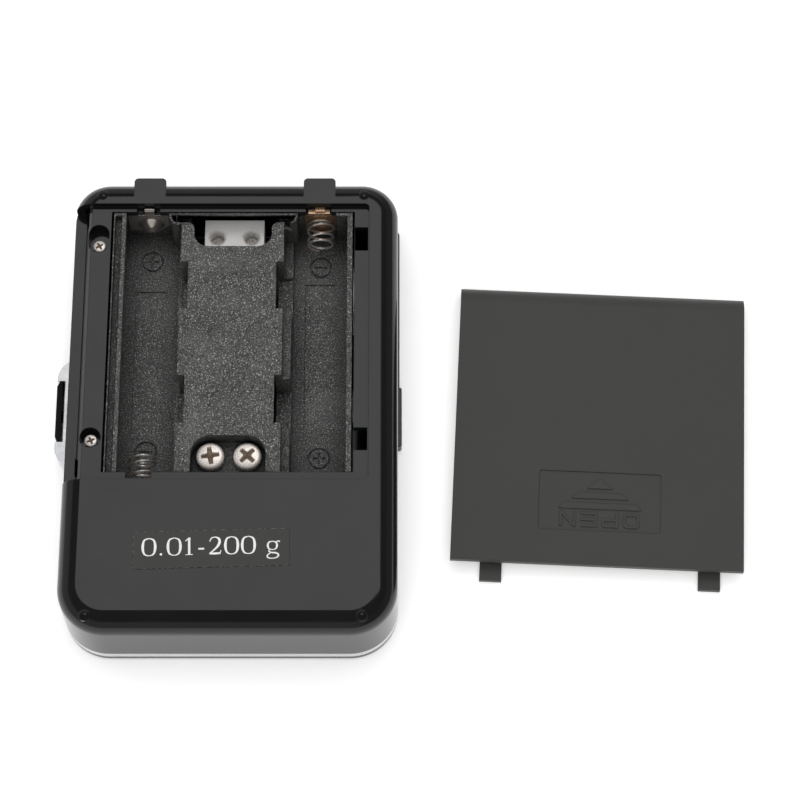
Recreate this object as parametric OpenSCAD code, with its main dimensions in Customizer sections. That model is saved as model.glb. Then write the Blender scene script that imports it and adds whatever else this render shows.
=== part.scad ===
// Pocket gram scale, lying on its front with its back up and its battery cover taken off beside it.
// Frame: origin on the rest plane under the middle of the scale, +X across, +Y to the hinge end,
// +Z to the back.

/* [Body] */
// Width of the rear shell
body_w = 63; // [61:0.5:66]
// X of the middle of the body's outline, beside the load cell's middle line
plan_x = 0.5; // [0.3:0.1:0.5]
// Length of the rear shell
body_l = 91.8; // [90:0.2:96]
// Height of the closed scale, without its feet
body_h = 19.2; // [19:0.1:20.5]
// Corner radius at the hinge end
corner_top = 7; // [6:0.5:8]
// Corner radius at the key end
corner_low = 9; // [7:0.5:10]
// Rounding round the edge of the back
edge_r = 3.7; // [3.2:0.1:4]
// Wall of the rear shell
wall = 1.6; // [1.4:0.1:1.7]
// Height of the seam between trim band and rear shell
seam_z = 6; // [5.8:0.1:6.2]
// Distance from the middle line to a foot
foot_x = 25.4; // [24:0.1:26]

/* [Front] */
// Height of the lower edge of the trim band
trim_z = 2.6; // [2.6:0.1:2.8]
// Thickness of the front's skin
skin_t = 1.6; // [1.4:0.1:1.7]
// Y of the edge between display and lid
front_split = -3.9; // [-4.5:0.1:-3.9]
// Width of the display window
window_w = 45; // [40:1:47]
// Length of the display window
window_l = 17; // [14:1:18]
// Y of the middle of the display window
window_y = -16; // [-16.5:0.1:-15.5]
// Width of one key
key_w = 10.5; // [9:0.5:12]
// Length of one key
key_l = 6.5; // [5:0.5:7]
// Distance between keys
key_pitch = 14; // [13:0.5:14.5]
// Y of the row of keys
key_y = -34; // [-35:0.5:-33]

/* [Lid] */
// Thickness of the lid
lid_t = 2.4; // [2.2:0.1:2.4]
// Y of the lid's free edge
lid_free = -3.5; // [-3.6:0.1:-3]
// How far the lid stands proud of the shell at each side
lid_proud = 0.3; // [0.2:0.1:0.5]
// Y of the hinge axis
hinge_y = 42.8; // [42.6:0.1:43]
// Radius of the hinge pins
hinge_pin_r = 0.5; // [0.4:0.1:0.6]

/* [Side button] */
// How far the trim band's lobe stands out from the shell
lobe_out = 3.1; // [3:0.1:3.3]
// Length of the lobe
lobe_l = 22.6; // [20:0.2:24]
// Y of the middle of the lobe
lobe_y = 2.1; // [1:0.1:4]
// Length of the button
button_l = 12.4; // [10:0.2:13]
// Travel of the button
button_travel = 0.45; // [0.3:0.05:0.45]

/* [Battery compartment] */
// Width of one bay, for an AAA cell 10.5 across
bay_w = 10.7; // [10.6:0.1:10.8]
// Length of one bay
bay_l = 55.4; // [55:0.1:55.6]
// Height of the bay floor
bay_floor = 6.9; // [6.9:0.1:7.2]
// Y of the hinge-end wall of the bays
bay_top = 40.15; // [40:0.05:40.2]
// X of the left bay's outer wall
left_bay_x = -21.75; // [-21.8:0.05:-21.65]
// X of the right bay's inner wall
right_bay_x = 11.5; // [11.4:0.1:11.6]
// Width of the centre block between the bays
block_w = 20; // [19.6:0.1:20]
// Depth of the step that the cover fills
cover_step = 1.3; // [1.2:0.1:1.4]

/* [Load cell] */
// Width of the bar
cell_w = 11.6; // [10:0.1:12.7]
// Thickness of the bar
cell_t = 6; // [5:0.1:6.4]
// Height of the bar's back face
cell_top = 12.6; // [12.4:0.1:12.6]
// Y of the fixed end
cell_low = -15; // [-15.2:0.1:-14.8]
// Y of the free end
cell_end = 40.3; // [40:0.1:40.8]
// Y of the two screws at the free end
free_y = 36.6; // [36.2:0.1:37]
// Distance between two screws side by side
cell_pitch = 6.7; // [6:0.1:7]
// Distance between the two clamp screws at the fixed end
clamp_pitch = 7; // [6.8:0.1:7.2]

/* [Weighing platform] */
// Width of the platform
plate_w = 47; // [44:0.5:47]
// Length of the platform
plate_l = 42; // [40:0.5:42]
// Y of the middle of the platform
plate_y = 19.9; // [19.5:0.1:20]

/* [Battery cover] */
// Thickness of the cover
cover_t = 1.25; // [1.1:0.05:1.3]
// Size of the cover along its curled edge
cover_w = 55.8; // [55.4:0.1:57]
// Size of the cover across its curled edge
cover_l = 57.3; // [57:0.1:57.4]
// Height of the curled edge
curl_h = 5.2; // [4.8:0.1:5.6]
// X of the middle of the loose cover
cover_x = 71.1; // [66:0.1:90]
// Y of the middle of the loose cover
cover_y = 0.3; // [-10:0.1:10]
// Turn of the loose cover, in degrees
cover_turn = -2.7; // [-20:0.1:20]

/* [Hidden] */
$fn = 64;
eps = 0.01;
half_w = body_w / 2;
half_l = body_l / 2;
inner_z = body_h - wall;

// Levels of the battery side
ledge_z = body_h - cover_step;
rim_z = ledge_z - 0.2;
lap_z = 4.3;
floor_t = 1.6;
side_z = body_h - curl_h;

// Recess for the cover
recess_right = half_w - 5.07;
recess_top = 40.73;
recess_low = -16.5;

// Opening in the ledge, and the battery box that fills it
open_x = 23.6;
open_top = 39.54;
open_low = -14.65;
box_x = 23.2;
box_top = bay_top + 1.45;
box_low = bay_top - bay_l - 1.2;
rim_top = open_top - 0.1;
rim_low = open_low + 0.1;
box_end_z = ledge_z - 1.8;
box_floor = bay_floor - 1;
bay_low = bay_top - bay_l;
bay_mid_z = bay_floor + 5.3;
left_mid = left_bay_x + bay_w / 2;
right_mid = right_bay_x + bay_w / 2;
lip_x = -20.8;
mouth_top = 37.4;
channel_w = 17.2;
web_t = 1.2;
clamp_y = -10.45;

// Case screws on the left strip
screw_x = -25.95;
screw_ys = [32.92, -7.68];
screw_run = [1.8, 0];
screw_r = 2;
screw_seat = ledge_z - 2.6;
boss_z = body_h - curl_h - 1.6;

// Slots for the cover's hooks
hook_w = 4.2;
hook_l = 3;
hook_ys = [33.74, -7.95];
slot_ws = [4.95, 4.55];
slot_x = 23.7;
slot_depth = 2.5;

// Side button: inner wall of its pocket, and the stop of its spring
pocket_x = -half_w - 1.6;
stop_x = plan_x - 27.2;

// Ears at the hinge end
ear_w = 6.2;
ear_xs = [-16.25, 16.75];
ear_top = half_l + 0.3;

// Front stack
fascia_r = 1.6;
skirt_in = wall + 0.1;
deck_t = 1.4;
hinge_z = lid_t / 2;
pin_l = 10.4;
plate_z = 2.2;
plate_t = 0.6;
lcd_z = 1.75;
pcb_z = 4.8;
pcb_t = 0.9;
button_z = 3.2;
stem_z = 4.4;
pcb_posts = [[-20, -40.6], [20, -40.6], [-26.2, -21.5], [26.2, -21.5]];
key_xs = [-1.5 * key_pitch, -0.5 * key_pitch, 0.5 * key_pitch, 1.5 * key_pitch];

// Raised letters of the cover's mark
letter_w = 3.1;
letter_h = 2.9;
letter_t = 0.45;
letter_pitch = 4.05;

// Cover pose: it rests on its curl, so it tips down to its hooks
cover_drop = 1;
cover_tip = asin(cover_drop / cover_l);

// Routes of the inner wires, from contact or gauge to the circuit board
supply_routes = [
    [[-17, 42.5, 13], [-18, 43.2, 12], [-22, 43.2, 10], [-27, 40, 9], [-28.6, 34, 8.5],
     [-28.6, 0, 8.5], [-28.4, -14, 8], [-24, -21, 7.5], [-21.2, -23.2, 6.6]],
    [[16.8, 42.5, 13], [18, 43.2, 12], [22, 43.2, 10], [27, 40, 9], [28.4, 34, 8.5],
     [28.4, 0, 8.5], [28.2, -14, 8], [24, -21, 7.5], [21.2, -23.2, 6.6]]
];
signal_route = [[0, -3.5, 13.4], [6.3, -3.6, 13.4], [7, -5, 11.3], [6.7, -8, 9.5], [6.6, -17, 8.8],
    [6, -21, 7.4], [5.2, -23, 6]];

// A box given by its two corners
module span(low, high) {
    translate(low)
        cube(high - low);
}

// Plan of the body, drawn in by inset
module outline(inset) {
    w = body_w - 2 * inset;
    l = body_l - 2 * inset;
    rt = corner_top - inset;
    rl = corner_low - inset;
    translate([plan_x, 0]) {
        translate([-w / 2, rl - l / 2])
            square([w, l - rt - rl]);
        translate([rt - w / 2, 0])
            square([w - 2 * rt, l / 2]);
        translate([rl - w / 2, -l / 2])
            square([w - 2 * rl, l / 2]);
        for (side = [-1, 1]) {
            translate([side * (w / 2 - rt), l / 2 - rt])
                circle(rt);
            translate([side * (w / 2 - rl), rl - l / 2])
                circle(rl);
        }
    }
}

// Half section of a rounded corner: radius big in plan, rounded by r at its top
module corner_section(big, r) {
    square([big - r, r]);
    intersection() {
        translate([big - r, 0])
            circle(r);
        square([big, r]);
    }
}

// The body's plan as a solid from low to high, with its upper edge rounded by r
module crowned(inset, low, high, r) {
    w = body_w - 2 * inset;
    l = body_l - 2 * inset;
    rt = corner_top - inset;
    rl = corner_low - inset;
    translate([0, 0, low])
        linear_extrude(high - r - low)
            outline(inset);
    translate([0, 0, high - r])
        linear_extrude(r)
            outline(inset + r);
    translate([plan_x, 0, high - r]) {
        for (side = [-1, 1]) {
            translate([side * (w / 2 - r), rl - l / 2, 0])
                rotate([-90, 0, 0])
                    cylinder(r = r, h = l - rt - rl);
            translate([side * (w / 2 - rt), l / 2 - rt, 0])
                rotate(side > 0 ? 0 : 90)
                    rotate_extrude(angle = 90)
                        corner_section(rt, r);
            translate([side * (w / 2 - rl), rl - l / 2, 0])
                rotate(side > 0 ? 270 : 180)
                    rotate_extrude(angle = 90)
                        corner_section(rl, r);
        }
        translate([rt - w / 2, l / 2 - r, 0])
            rotate([0, 90, 0])
                cylinder(r = r, h = w - 2 * rt);
        translate([rl - w / 2, r - l / 2, 0])
            rotate([0, 90, 0])
                cylinder(r = r, h = w - 2 * rl);
    }
}

// Rectangle from corner low to corner high with rounded corners
module soft_rect(low, high, r) {
    size = high - low;
    translate(low + [r, 0])
        square([size.x - 2 * r, size.y]);
    translate(low + [0, r])
        square([size.x, size.y - 2 * r]);
    for (x = [low.x + r, high.x - r], y = [low.y + r, high.y - r])
        translate([x, y])
            circle(r);
}

// A soft_rect centred on the origin
module soft_tile(size, r) {
    soft_rect(-size / 2, size / 2, r);
}

// Round wire of radius wire wound from radius r0 to r1 along +Z
module coil(r0, r1, wire, turns, length) {
    steps = ceil(turns * 18);
    sides = 8;
    points = [
        for (i = [0:steps], j = [0:sides - 1])
            let (a = 360 * turns * i / steps,
                 b = 360 * j / sides,
                 r = r0 + (r1 - r0) * i / steps + wire * cos(b))
            [r * cos(a), r * sin(a), length * i / steps + wire * sin(b)]
    ];
    walls = [
        for (i = [0:steps - 1], j = [0:sides - 1])
            let (k = (j + 1) % sides)
            [i * sides + j, i * sides + k, (i + 1) * sides + k, (i + 1) * sides + j]
    ];
    first = [[for (j = [sides - 1:-1:0]) j]];
    last = [[for (j = [0:sides - 1]) steps * sides + j]];
    polyhedron(points, concat(walls, first, last));
}

function unit(v) = v / norm(v);
function cut_corners(p) = [
    p[0],
    for (i = [0:len(p) - 2])
        each [0.75 * p[i] + 0.25 * p[i + 1], 0.25 * p[i] + 0.75 * p[i + 1]],
    p[len(p) - 1]
];
function heading(p, i) = unit(p[min(i + 1, len(p) - 1)] - p[max(i - 1, 0)]);

// Round wire of radius r along a route whose corners are eased
module wire_along(route, r) {
    sides = 8;
    up = [0.31, 0.17, 0.93];
    path = cut_corners(cut_corners(route));
    points = [
        for (i = [0:len(path) - 1])
            let (ahead = heading(path, i),
                 across = unit(cross(ahead, up)),
                 above = cross(across, ahead))
            for (j = [0:sides - 1])
                path[i] + r * (cos(360 * j / sides) * across + sin(360 * j / sides) * above)
    ];
    walls = [
        for (i = [0:len(path) - 2], j = [0:sides - 1])
            let (k = (j + 1) % sides)
            [i * sides + j, (i + 1) * sides + j, (i + 1) * sides + k, i * sides + k]
    ];
    first = [[for (j = [0:sides - 1]) j]];
    last = [[for (j = [sides - 1:-1:0]) (len(path) - 1) * sides + j]];
    polyhedron(points, concat(walls, first, last));
}

// Cross recess of a screw head, cut downwards from z = 0
module cross_recess(reach, width, depth) {
    for (turn = [20, 110])
        rotate(turn)
            span([-reach / 2, -width / 2, -depth], [reach / 2, width / 2, 1]);
}

// Screw with a domed head standing on z = 0 and its shank below
module domed_screw(head_r, head_h, shank_r, shank_l) {
    dome_r = 3.2 * head_r;
    difference() {
        intersection() {
            cylinder(r = head_r, h = head_h);
            translate([0, 0, head_h - dome_r])
                sphere(dome_r, $fn = 96);
        }
        translate([0, 0, head_h])
            cross_recess(1.25 * head_r, 0.3 * head_r, 0.5 * head_h);
    }
    translate([0, 0, -shank_l])
        cylinder(r = shank_r, h = shank_l + eps);
}

// Ears that fill the rounded edge of the shell at the hinge end
module shell_ears() {
    for (x = ear_xs) {
        translate([0, 0, seam_z])
            linear_extrude(body_h - seam_z)
                soft_rect([x - ear_w / 2, half_l - wall + 0.1], [x + ear_w / 2, ear_top], 0.8);
        translate([0, 0, inner_z - 0.8])
            linear_extrude(wall + 0.8)
                soft_rect([x - ear_w / 2, half_l - edge_r - 0.7], [x + ear_w / 2, ear_top], 0.8);
    }
}

// Ledge, strips and screw bosses inside the cover recess
module shell_ledge() {
    intersection() {
        translate([0, 0, side_z - floor_t])
            linear_extrude(ledge_z - side_z + floor_t)
                outline(wall - eps);
        union() {
            span([-28, recess_low - 1.4, ledge_z - floor_t], [half_w, recess_top + 1.4, ledge_z]);
            span([-28, recess_low - 1.4, side_z - floor_t], [-26.9, recess_top + 1.4, ledge_z]);
            span([-half_w, recess_low - 1.4, side_z - floor_t], [-27, recess_top + 1.4, side_z]);
            for (y = screw_ys)
                translate([screw_x, y, boss_z])
                    cylinder(r = 2.3, h = ledge_z - boss_z);
            span([screw_x - 2.3, screw_ys[0], boss_z],
                 [screw_x + 2.3, screw_ys[0] + screw_run[0] + 2.4, ledge_z - 1]);
        }
    }
}

// Lip of the shell that laps over the trim band, open at the side button's lobe
module shell_lip() {
    difference() {
        translate([0, 0, lap_z + 0.1])
            linear_extrude(seam_z - lap_z)
                difference() {
                    outline(0);
                    outline(0.7);
                }
        span([-half_w - 1, lobe_y - lobe_l / 2 - 0.1, lap_z - 1],
             [-half_w + 3, lobe_y + lobe_l / 2 + 0.1, seam_z]);
    }
}

module rear_shell() {
    color("#222324")
        difference() {
            union() {
                difference() {
                    crowned(0, seam_z, body_h, edge_r);
                    crowned(wall, seam_z - 1, inner_z, edge_r - wall);
                }
                shell_ledge();
                shell_lip();
                shell_ears();
                for (x = [-foot_x, foot_x], y = [half_l - 3.4, 2.8 - half_l])
                    translate([x, y, body_h - 1])
                        intersection() {
                            cylinder(r = 1.1, h = 2);
                            translate([0, 0, -0.75])
                                sphere(2);
                        }
            }
            // Recess for the cover, with the left side open for the cover's curl
            translate([0, 0, ledge_z])
                linear_extrude(5)
                    soft_rect([-half_w - 9, recess_low], [recess_right, recess_top], 0.8);
            span([-half_w - 9, recess_low, side_z], [-28, recess_top, body_h + 5]);
            // Opening for the battery box
            span([-open_x, open_low, side_z - 4], [open_x, open_top, body_h + 5]);
            // Dark groove at the foot of the left strip, and the slot at its end
            span([-28.8, recess_low, side_z - 0.7], [-28, recess_top, side_z + 1]);
            span([-29, -14, side_z - 3], [-28, -10.5, side_z + 1]);
            // Case screws
            for (i = [0, 1])
                translate([screw_x, screw_ys[i], 0]) {
                    translate([0, 0, screw_seat])
                        cylinder(r = screw_r, h = 5);
                    translate([0, screw_run[i], screw_seat])
                        cylinder(r = screw_r, h = 5);
                    span([-screw_r, 0, screw_seat], [screw_r, screw_run[i] + eps, body_h + 1]);
                    cylinder(r = 1, h = body_h);
                }
            // Sloped outer edge of the left strip
            translate([0, recess_top, 0])
                rotate([90, 0, 0])
                    linear_extrude(recess_top - recess_low)
                        polygon([[-28.5, ledge_z - 1], [-28, ledge_z - 0.6], [-27.4, ledge_z + 0.02],
                                 [-27.4, ledge_z + 1], [-28.5, ledge_z + 1]]);
            // Slots for the cover's hooks
            for (i = [0, 1])
                span([slot_x, hook_ys[i] - slot_ws[i] / 2, ledge_z - 3],
                     [slot_x + slot_depth, hook_ys[i] + slot_ws[i] / 2, ledge_z + 1]);
            // Notches in the ledge over the contacts
            span([left_mid - 2.4, open_top - 1, side_z - 2], [left_mid + 2.1, recess_top, ledge_z + 1]);
            span([right_mid - 2.75, open_top - 1, side_z - 2], [right_mid + 2.15, recess_top, ledge_z + 1]);
            span([left_mid - 2.6, recess_low + 0.7, side_z - 2], [left_mid + 2.2, open_low + 1, ledge_z + 1]);
        }
}

// Retaining notches along the centre block's edge at one side
module block_notches(side, edge) {
    for (ys = [[19.1, 29], [-4.6, 5.2]])
        span([min(side * 8.5, edge), ys[0], bay_floor + 2], [max(side * 8.5, edge), ys[1], body_h]);
}

// Circled plus or minus sign, sunk in a bay floor at y
module polarity_mark(y, plus) {
    translate([0, y, 0])
        linear_extrude(1) {
            difference() {
                circle(2.2);
                circle(1.85);
            }
            square([2.4, 0.45], center = true);
            if (plus)
                square([0.45, 2.4], center = true);
        }
}

// Marks sunk in the bay floors: a long panel with a sign at each end
module floor_marks() {
    for (m = [[left_mid, 33.95, 27.5, -3.8, -6.4], [right_mid, 32.7, 29, -2.8, -7.7]])
        translate([m[0], 0, bay_floor - 0.3]) {
            span([-3, m[3], 0], [3, m[2], 1]);
            polarity_mark(m[1], m[0] < 0);
            polarity_mark(m[4], m[0] > 0);
        }
}

// Round marks left on the centre block by the mould's ejector pins
module ejector_marks() {
    for (p = [[0, 28.8], [-6.8, 13.7], [5.25, 13.7], [-1.3, -0.3]])
        translate([p.x, p.y, rim_z - 0.06])
            cylinder(r = 2.4, h = 1);
}

// Thin curved wall between a bay and the mouth over the load cell's free end
module mouth_corner(side) {
    translate([side * 10.4, mouth_top + 1.6, box_floor])
        linear_extrude(rim_z - 0.1 - box_floor)
            intersection() {
                difference() {
                    circle(2.1);
                    circle(1.7);
                }
                translate([side > 0 ? 0 : -3, -3])
                    square(3);
            }
    wall_x = side * 10.4 + side * 1.9;
    span([wall_x - 0.2, mouth_top + 1.5, box_floor], [wall_x + 0.2, rim_top, rim_z - 0.1]);
}

// Legs that stand the battery box on the front's deck
module box_legs() {
    for (side = [-1, 1]) {
        near = min(side * (box_x - 1), side * 27.4);
        far = max(side * (box_x - 1), side * 27.4);
        span([near, 8, box_floor], [far, 18, box_floor + 1.5]);
        foot = min(side * 25.2, side * 27.4);
        span([foot, 8, trim_z + deck_t], [foot + 2.2, 18, box_floor + 0.5]);
    }
}

// The battery box apart from the rim across its mouth
module box_body() {
    difference() {
        union() {
            difference() {
                union() {
                    span([-box_x, rim_low, box_floor], [box_x, rim_top, rim_z]);
                    span([-box_x, box_low, box_floor], [box_x, box_top, box_end_z]);
                }
                // Bays, and the relief that lets a cell pass the left bay's lip
                span([left_bay_x, bay_low, bay_floor], [left_bay_x + bay_w, bay_top, body_h]);
                span([left_bay_x + bay_w - 1, bay_low, bay_floor + 2.1],
                     [-block_w / 2, mouth_top - 0.3, body_h]);
                span([right_bay_x, bay_low, bay_floor], [right_bay_x + bay_w, bay_top, body_h]);
                // Mouth over the load cell's free end
                span([-block_w / 2 - 1, mouth_top, bay_floor + 4],
                     [right_bay_x + 1, box_top + 1, body_h]);
            }
            // Lip over the left bay, and the short rim in the right bay's corner
            span([left_bay_x - 0.5, rim_low, rim_z - 1.9], [lip_x, rim_top, rim_z]);
            span([right_mid + 3.1, rim_top - 0.6, bay_floor - 0.5],
                 [right_bay_x + bay_w + 0.5, rim_top, rim_z]);
            mouth_corner(-1);
            mouth_corner(1);
            box_legs();
        }
        floor_marks();
        ejector_marks();
        // Lower band beside the centre block, and the groove between the left rims
        span([block_w / 2 - 0.1, bay_low, rim_z - 2], [right_bay_x + 1, mouth_top, body_h]);
        span([-22.95, rim_low - 1, rim_z - 1.45], [-21.6, rim_top - 0.6, body_h]);
        block_notches(-1, -block_w / 2 - 0.2);
        block_notches(1, right_bay_x + 0.2);
        // Gap between the block and the right bay
        span([block_w / 2 - 0.1, 28.9, bay_floor + 3], [right_bay_x + 0.2, mouth_top - 0.6, body_h]);
        // Channel for the load cell, with the clamp web left over its fixed end
        span([-channel_w / 2, -6, box_floor - 1], [channel_w / 2, box_top + 1, rim_z - 1.5]);
        span([-channel_w / 2, box_low - 1, box_floor - 1], [channel_w / 2, -5, cell_top]);
        // Cut-out over the free end, with eased shoulders
        translate([0, 0, box_floor - 1])
            linear_extrude(body_h)
                soft_rect([-7.55, 32.3], [7.55, box_top + 3], 2.8);
        for (side = [-1, 1])
            translate([side * 7.5, mouth_top, 0])
                linear_extrude(body_h)
                    difference() {
                        translate([side > 0 ? -1 : -1.3, -1.3])
                            square([2.3, 2]);
                        translate([side * 1.3, -1.3])
                            circle(1.3);
                        translate([side > 0 ? 1.3 : -2.3, -1.4])
                            square([1, 2.2]);
                    }
        // Recess for the clamp screws
        translate([0, 0, cell_top + web_t])
            linear_extrude(body_h)
                soft_rect([-7, rim_low - 6], [7.2, -7.1], 3.7);
        for (side = [-1, 1])
            translate([side * clamp_pitch / 2, clamp_y, box_floor])
                cylinder(r = 1.6, h = body_h);
        // Ways through the end walls for the contacts
        for (x = [left_mid, right_mid]) {
            span([x - 1.3, bay_top - 1, rim_z - 2.4], [x + 1.3, box_top + 1, body_h]);
            span([x - 1.2, box_low - 1, 13.9], [x + 1.2, bay_low + 1, 15.6]);
        }
    }
}

module battery_box() {
    color("#2c2c2c")
        union() {
            box_body();
            span([-12.3, rim_top - 0.4, rim_z - 0.6], [12.3, rim_top, rim_z - 0.1]);
        }
}

// Chrome band between shell and front, with a lobe for the side button
module trim_band() {
    color("#cfd0d2")
        difference() {
            union() {
                for (level = [[trim_z, lap_z, 0], [lap_z, seam_z, 0.8]])
                    translate([0, 0, level[0]])
                        linear_extrude(level[1] - level[0])
                            outline(level[2]);
                translate([plan_x, 0, trim_z])
                    linear_extrude(seam_z - trim_z)
                        soft_rect([-half_w - lobe_out, lobe_y - lobe_l / 2],
                                  [-half_w + 6, lobe_y + lobe_l / 2], 4.2);
            }
            translate([0, 0, trim_z - 1])
                linear_extrude(seam_z)
                    outline(wall);
            // Pocket and stem hole of the side button
            translate([plan_x, lobe_y + 0.4, 0]) {
                span([-half_w - lobe_out - 1, -button_l / 2 - 0.15, button_z - 0.2],
                     [pocket_x, button_l / 2 + 0.15, seam_z + 1]);
                translate([-half_w - 2, 0, stem_z])
                    rotate([0, 90, 0])
                        cylinder(r = 0.7, h = 6);
            }
        }
}

// Openings of the display window and the keys
module front_openings() {
    translate([0, window_y, -1])
        linear_extrude(skin_t + 2)
            soft_tile([window_w - 3, window_l - 3], 0.8);
    translate([0, window_y, -1])
        linear_extrude(2.2)
            soft_tile([window_w, window_l], 1);
    for (x = key_xs)
        translate([x, key_y, -1])
            linear_extrude(skin_t + 2)
                soft_tile([key_w + 0.5, key_l + 0.5], 2.6);
}

module front_fascia() {
    knuckle_low = hinge_y - hinge_z;
    color("#1d1e1f")
        difference() {
            union() {
                // Display half: skin with rounded edge
                difference() {
                    intersection() {
                        mirror([0, 0, 1])
                            crowned(0, -trim_z, 0, fascia_r);
                        span([-body_w, -half_l, 0], [body_w, front_split, trim_z]);
                    }
                    translate([0, 0, skin_t])
                        linear_extrude(trim_z)
                            difference() {
                                outline(skirt_in + 1);
                                translate([-body_w, front_split - 1.2])
                                    square([2 * body_w, body_l]);
                            }
                }
                // Skirt that carries the trim band and enters the shell
                translate([0, 0, trim_z - eps])
                    linear_extrude(seam_z + 1.2 - trim_z)
                        difference() {
                            outline(skirt_in);
                            outline(skirt_in + 1);
                        }
                // Deck round the platform
                translate([0, 0, trim_z])
                    linear_extrude(deck_t)
                        difference() {
                            outline(skirt_in);
                            translate([-body_w, -half_l])
                                square([2 * body_w, half_l + front_split - 1.2]);
                        }
                for (y = screw_ys)
                    translate([screw_x, y, y > front_split ? trim_z : skin_t - 0.2])
                        cylinder(r = 2, h = boss_z - 0.1 - (y > front_split ? trim_z : skin_t - 0.2));
                // Posts of the circuit board
                for (p = pcb_posts)
                    translate([p.x, p.y, skin_t - 0.2])
                        cylinder(r = 1.5, h = pcb_z - skin_t + 0.2);
                // Stop of the release spring
                span([stop_x, lobe_y - 1.6, trim_z], [stop_x + 0.8, lobe_y + 2.4, 5.6]);
                // Hinge knuckles under the shell's ears
                for (x = ear_xs) {
                    translate([x - ear_w / 2, hinge_y, hinge_z])
                        rotate([0, 90, 0])
                            cylinder(r = hinge_z, h = ear_w);
                    span([x - ear_w / 2, knuckle_low, hinge_z],
                         [x + ear_w / 2, hinge_y + hinge_z, trim_z + 0.5]);
                }
            }
            front_openings();
            // Opening for the platform
            translate([0, plate_y, trim_z - 1])
                linear_extrude(deck_t + 2)
                    soft_tile([plate_w + 1.2, plate_l + 1.2], 3.6);
            for (y = screw_ys)
                translate([screw_x, y, 7])
                    cylinder(r = 0.85, h = body_h);
            for (p = pcb_posts)
                translate([p.x, p.y, skin_t + 0.6])
                    cylinder(r = 0.7, h = pcb_z);
            for (x = ear_xs)
                translate([x - ear_w, hinge_y, hinge_z])
                    rotate([0, 90, 0])
                        cylinder(r = hinge_pin_r, h = 2 * ear_w);
            // Way through the skirt for the button's stem
            span([-half_w, lobe_y - 1, stem_z - 1.4], [stop_x - 0.02, lobe_y + 1.8, seam_z + 3]);
        }
}

module display_window() {
    color("#3a4040")
        translate([0, window_y, 0.2])
            linear_extrude(1)
                soft_tile([window_w - 0.2, window_l - 0.2], 0.9);
}

module lcd_panel() {
    color("#8f9a86")
        difference() {
            translate([0, window_y, lcd_z])
                linear_extrude(1.65)
                    soft_tile([window_w + 2.6, window_l + 2.5], 0.3);
            span([-window_w, window_y + window_l / 2 + 0.5, lcd_z - 1], [window_w, 0, lcd_z + 0.7]);
        }
}

module backlight() {
    color("#dfe6ea")
        translate([0, window_y, lcd_z + 1.7])
            linear_extrude(1.25)
                soft_tile([window_w + 2, window_l + 2], 0.4);
}

module main_pcb() {
    color("#1f5a37")
        difference() {
            translate([0, 0, pcb_z])
                linear_extrude(pcb_t)
                    soft_rect([-28, -42.4], [28, -5.6], 5.6);
            translate([screw_x, screw_ys[1], 0])
                cylinder(r = 2.5, h = body_h);
            for (p = pcb_posts)
                translate([p.x, p.y, 0])
                    cylinder(r = 0.8, h = body_h);
        }
}

module pcb_screws() {
    color("#d8d2c8")
        for (p = pcb_posts)
            translate([p.x, p.y, pcb_z + pcb_t])
                domed_screw(1.4, 0.8, 0.68, 2.8);
}

// Chip under its blob, capacitors and sockets on the back of the circuit board
module pcb_components() {
    color("#202020")
        translate([0, 0, pcb_z + pcb_t]) {
            translate([-8, -29, 0])
                intersection() {
                    cylinder(r = 5, h = 1.6);
                    translate([0, 0, 1.6 - 9])
                        sphere(9, $fn = 96);
                }
            for (x = [6, 10.5, 15])
                span([x, -35, 0], [x + 2.6, -33.6, 1.1]);
            for (x = [5, 9])
                translate([x, -29, 0])
                    cylinder(r = 1.6, h = 4.2);
            span([13, -30.5, 0], [18.5, -26, 1.4]);
            for (x = [-21, 21])
                span([x - 1.6, -26.5, 0], [x + 1.6, -23.5, 2.6]);
        }
}

module key_switches() {
    color("#c9b27a")
        for (x = key_xs)
            translate([x, key_y, pcb_z - 1])
                cylinder(r1 = 1.6, r2 = 2.3, h = 1);
}

module key_membrane() {
    color("#8b8d90")
        translate([0, key_y, 3.05])
            linear_extrude(0.6)
                soft_tile([4 * key_pitch - 2, key_l + 3], 1.5);
}

// Plate of a contact at the hinge end of a bay, with its strip over the end wall
module end_plate(x) {
    span([x - 0.95, bay_top - 0.4, 12], [x + 0.95, bay_top - 0.1, rim_z]);
    span([x - 0.95, bay_top - 0.4, rim_z - 0.3], [x + 0.95, recess_top - 0.05, rim_z]);
    span([x - 0.95, bay_top + 0.2, 15.5], [x + 0.95, recess_top - 0.05, 15.8]);
    span([x - 0.95, recess_top - 0.35, 15.5], [x + 0.95, recess_top - 0.05, rim_z]);
    span([x - 0.95, recess_top - 0.35, 15.5], [x + 0.95, box_top + 0.5, 15.8]);
    span([x - 0.95, box_top + 0.2, 12], [x + 0.95, box_top + 0.5, 15.8]);
}

module positive_contact() {
    color("#c9c3b8")
        union() {
            end_plate(left_mid);
            translate([left_mid, bay_top - 0.1, 0])
                rotate([90, 0, 0])
                    linear_extrude(0.3)
                        polygon([[-4.4, 9.4], [1.6, 9.4], [3.6, 11.6], [3.6, 15.9], [-4.4, 15.9]]);
            translate([left_mid, bay_top - 0.35, bay_mid_z])
                rotate([90, 0, 0])
                    cylinder(r1 = 2.1, r2 = 1.3, h = 2.2);
        }
}

module negative_contact() {
    color("#b9945c")
        union() {
            end_plate(right_mid);
            span([right_mid - 3, bay_top - 0.4, 9.2], [right_mid + 3, bay_top - 0.1, 15.9]);
            span([right_mid - 2.3, bay_top - 0.7, rim_z - 0.75],
                 [right_mid + 1.9, bay_top + 0.3, rim_z - 0.45]);
        }
}

module top_spring() {
    color("#cfc9c0")
        translate([right_mid, bay_top - 0.67, bay_mid_z])
            rotate([90, 40, 0])
                coil(2.45, 2.15, 0.24, 4.2, 9);
}

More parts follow.
